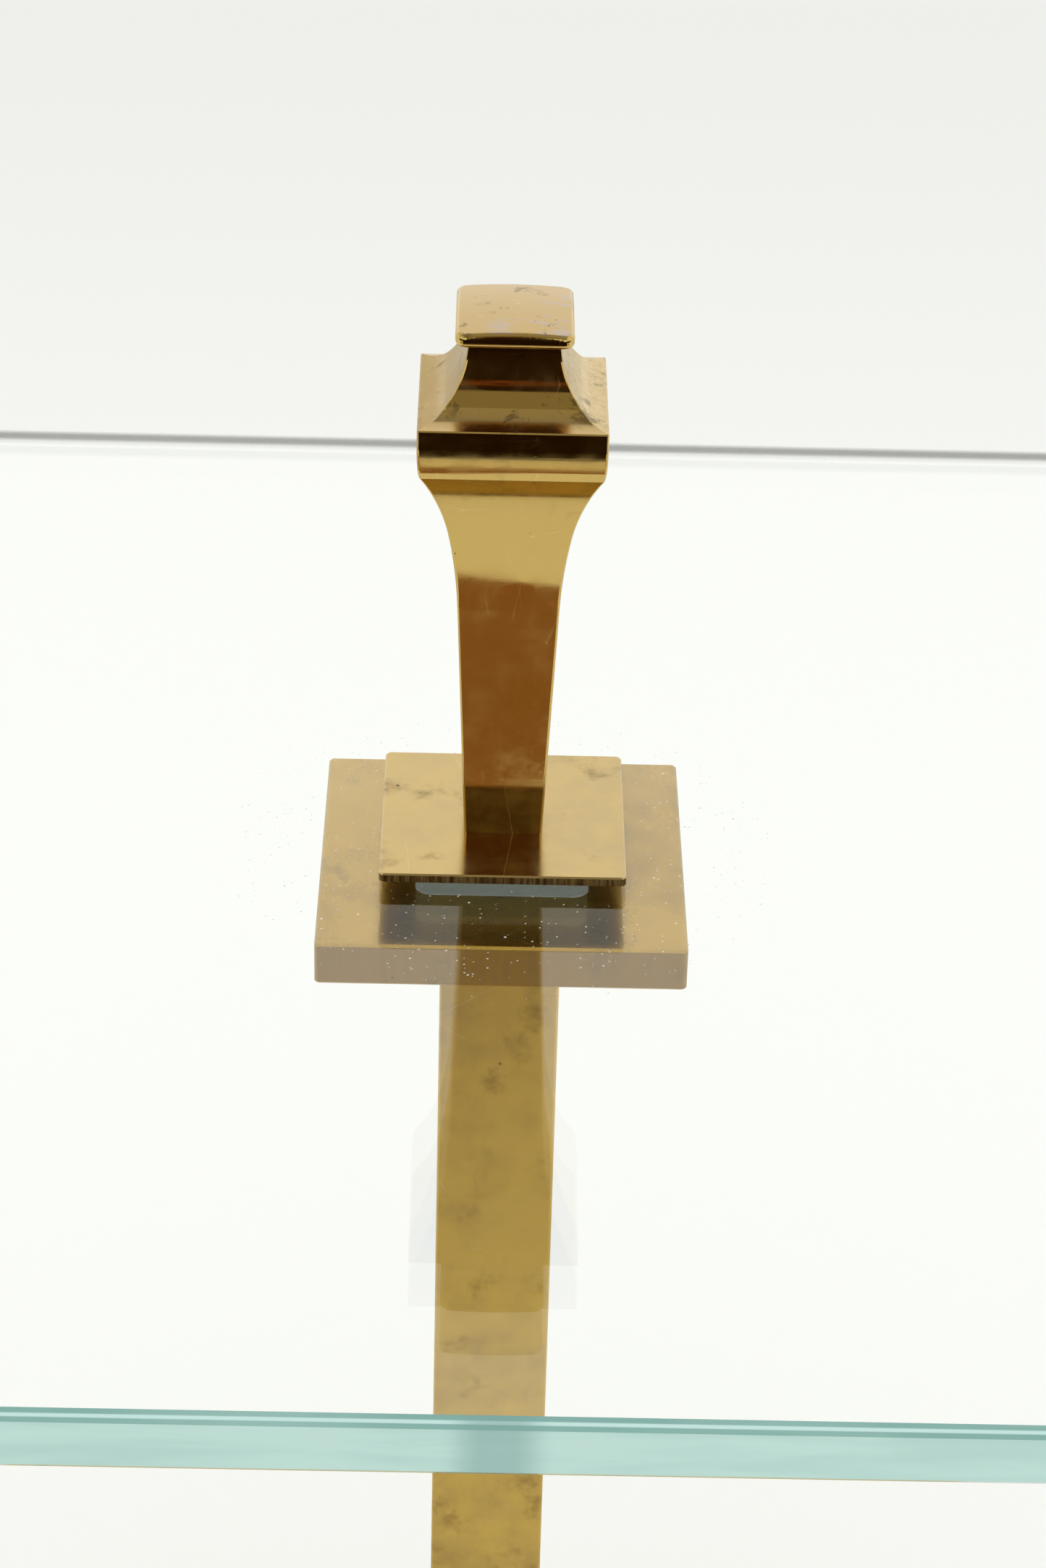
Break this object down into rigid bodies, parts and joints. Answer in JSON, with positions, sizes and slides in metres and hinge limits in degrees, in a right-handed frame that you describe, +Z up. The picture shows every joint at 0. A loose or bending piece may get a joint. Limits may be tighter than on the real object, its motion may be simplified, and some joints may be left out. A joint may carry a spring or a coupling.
{
  "type": "single-post glass shelf display stand",
  "caption": "Table-top display stand: a glass shelf clamped on a square brass post by a flared finial, on a weighted square base.",
  "frame": {"origin": "centre of the stand on the surface that its feet rest on, under the post's axis", "axes": "+Z up along the post, +X to the right along the shelf's long side, -Y towards the front"},
  "size_m": [0.4, 0.307, 0.4115],
  "materials": {
    "polished_brass": "polished",
    "plate_brass": "polished, marked",
    "aged_brass": "aged satin",
    "post_brass": "aged polished",
    "base_brass": "satin",
    "plug_brass": "machined",
    "glass": "clear",
    "gasket": "matte",
    "nylon": "matte",
    "steel": "zinc plated",
    "cover_steel": "black paint",
    "cast_iron": "as cast",
    "rubber": "matte"
  },
  "bodies": {
    "stand": {"upper_plate": "plate_brass", "upper_gasket": "gasket", "glass_shelf": "glass", "centring_bush": "nylon", "lower_gasket": "gasket", "flange_plate": "aged_brass", "post_top_plug": "plug_brass", "flange_dowels": "steel", "post_tube": "post_brass", "collar_dowels": "steel", "post_bottom_plug": "plug_brass", "foot_collar": "aged_brass", "tie_rod": "steel", "base_shell": "base_brass", "base_weight": "cast_iron", "rod_washer": "steel", "lock_washer": "steel", "rod_nut": "steel", "base_cover": "cover_steel", "cover_screws": "steel", "rubber_foot_1": "rubber", "rubber_foot_2": "rubber", "rubber_foot_3": "rubber", "rubber_foot_4": "rubber"},
    "screw": {"finial_insert": "steel"},
    "finial": {"finial_body": "polished_brass", "finial_cap": "polished_brass"}
  },
  "joints": [
    {"name": "finial_lift", "type": "slide", "parent": "stand", "child": "screw", "axis": [0, 0, 1], "range_m": [0, 0.014]},
    {"name": "finial_turn", "type": "hinge", "parent": "screw", "child": "finial", "pos_m": [0, 0, 0.3205], "axis": [0, 0, 1], "range_deg": [0, 5040]}
  ],
  "couplings": [
    {"joint": "finial_turn", "follows": "finial_lift", "rad_per_m": 6283.2}
  ]
}
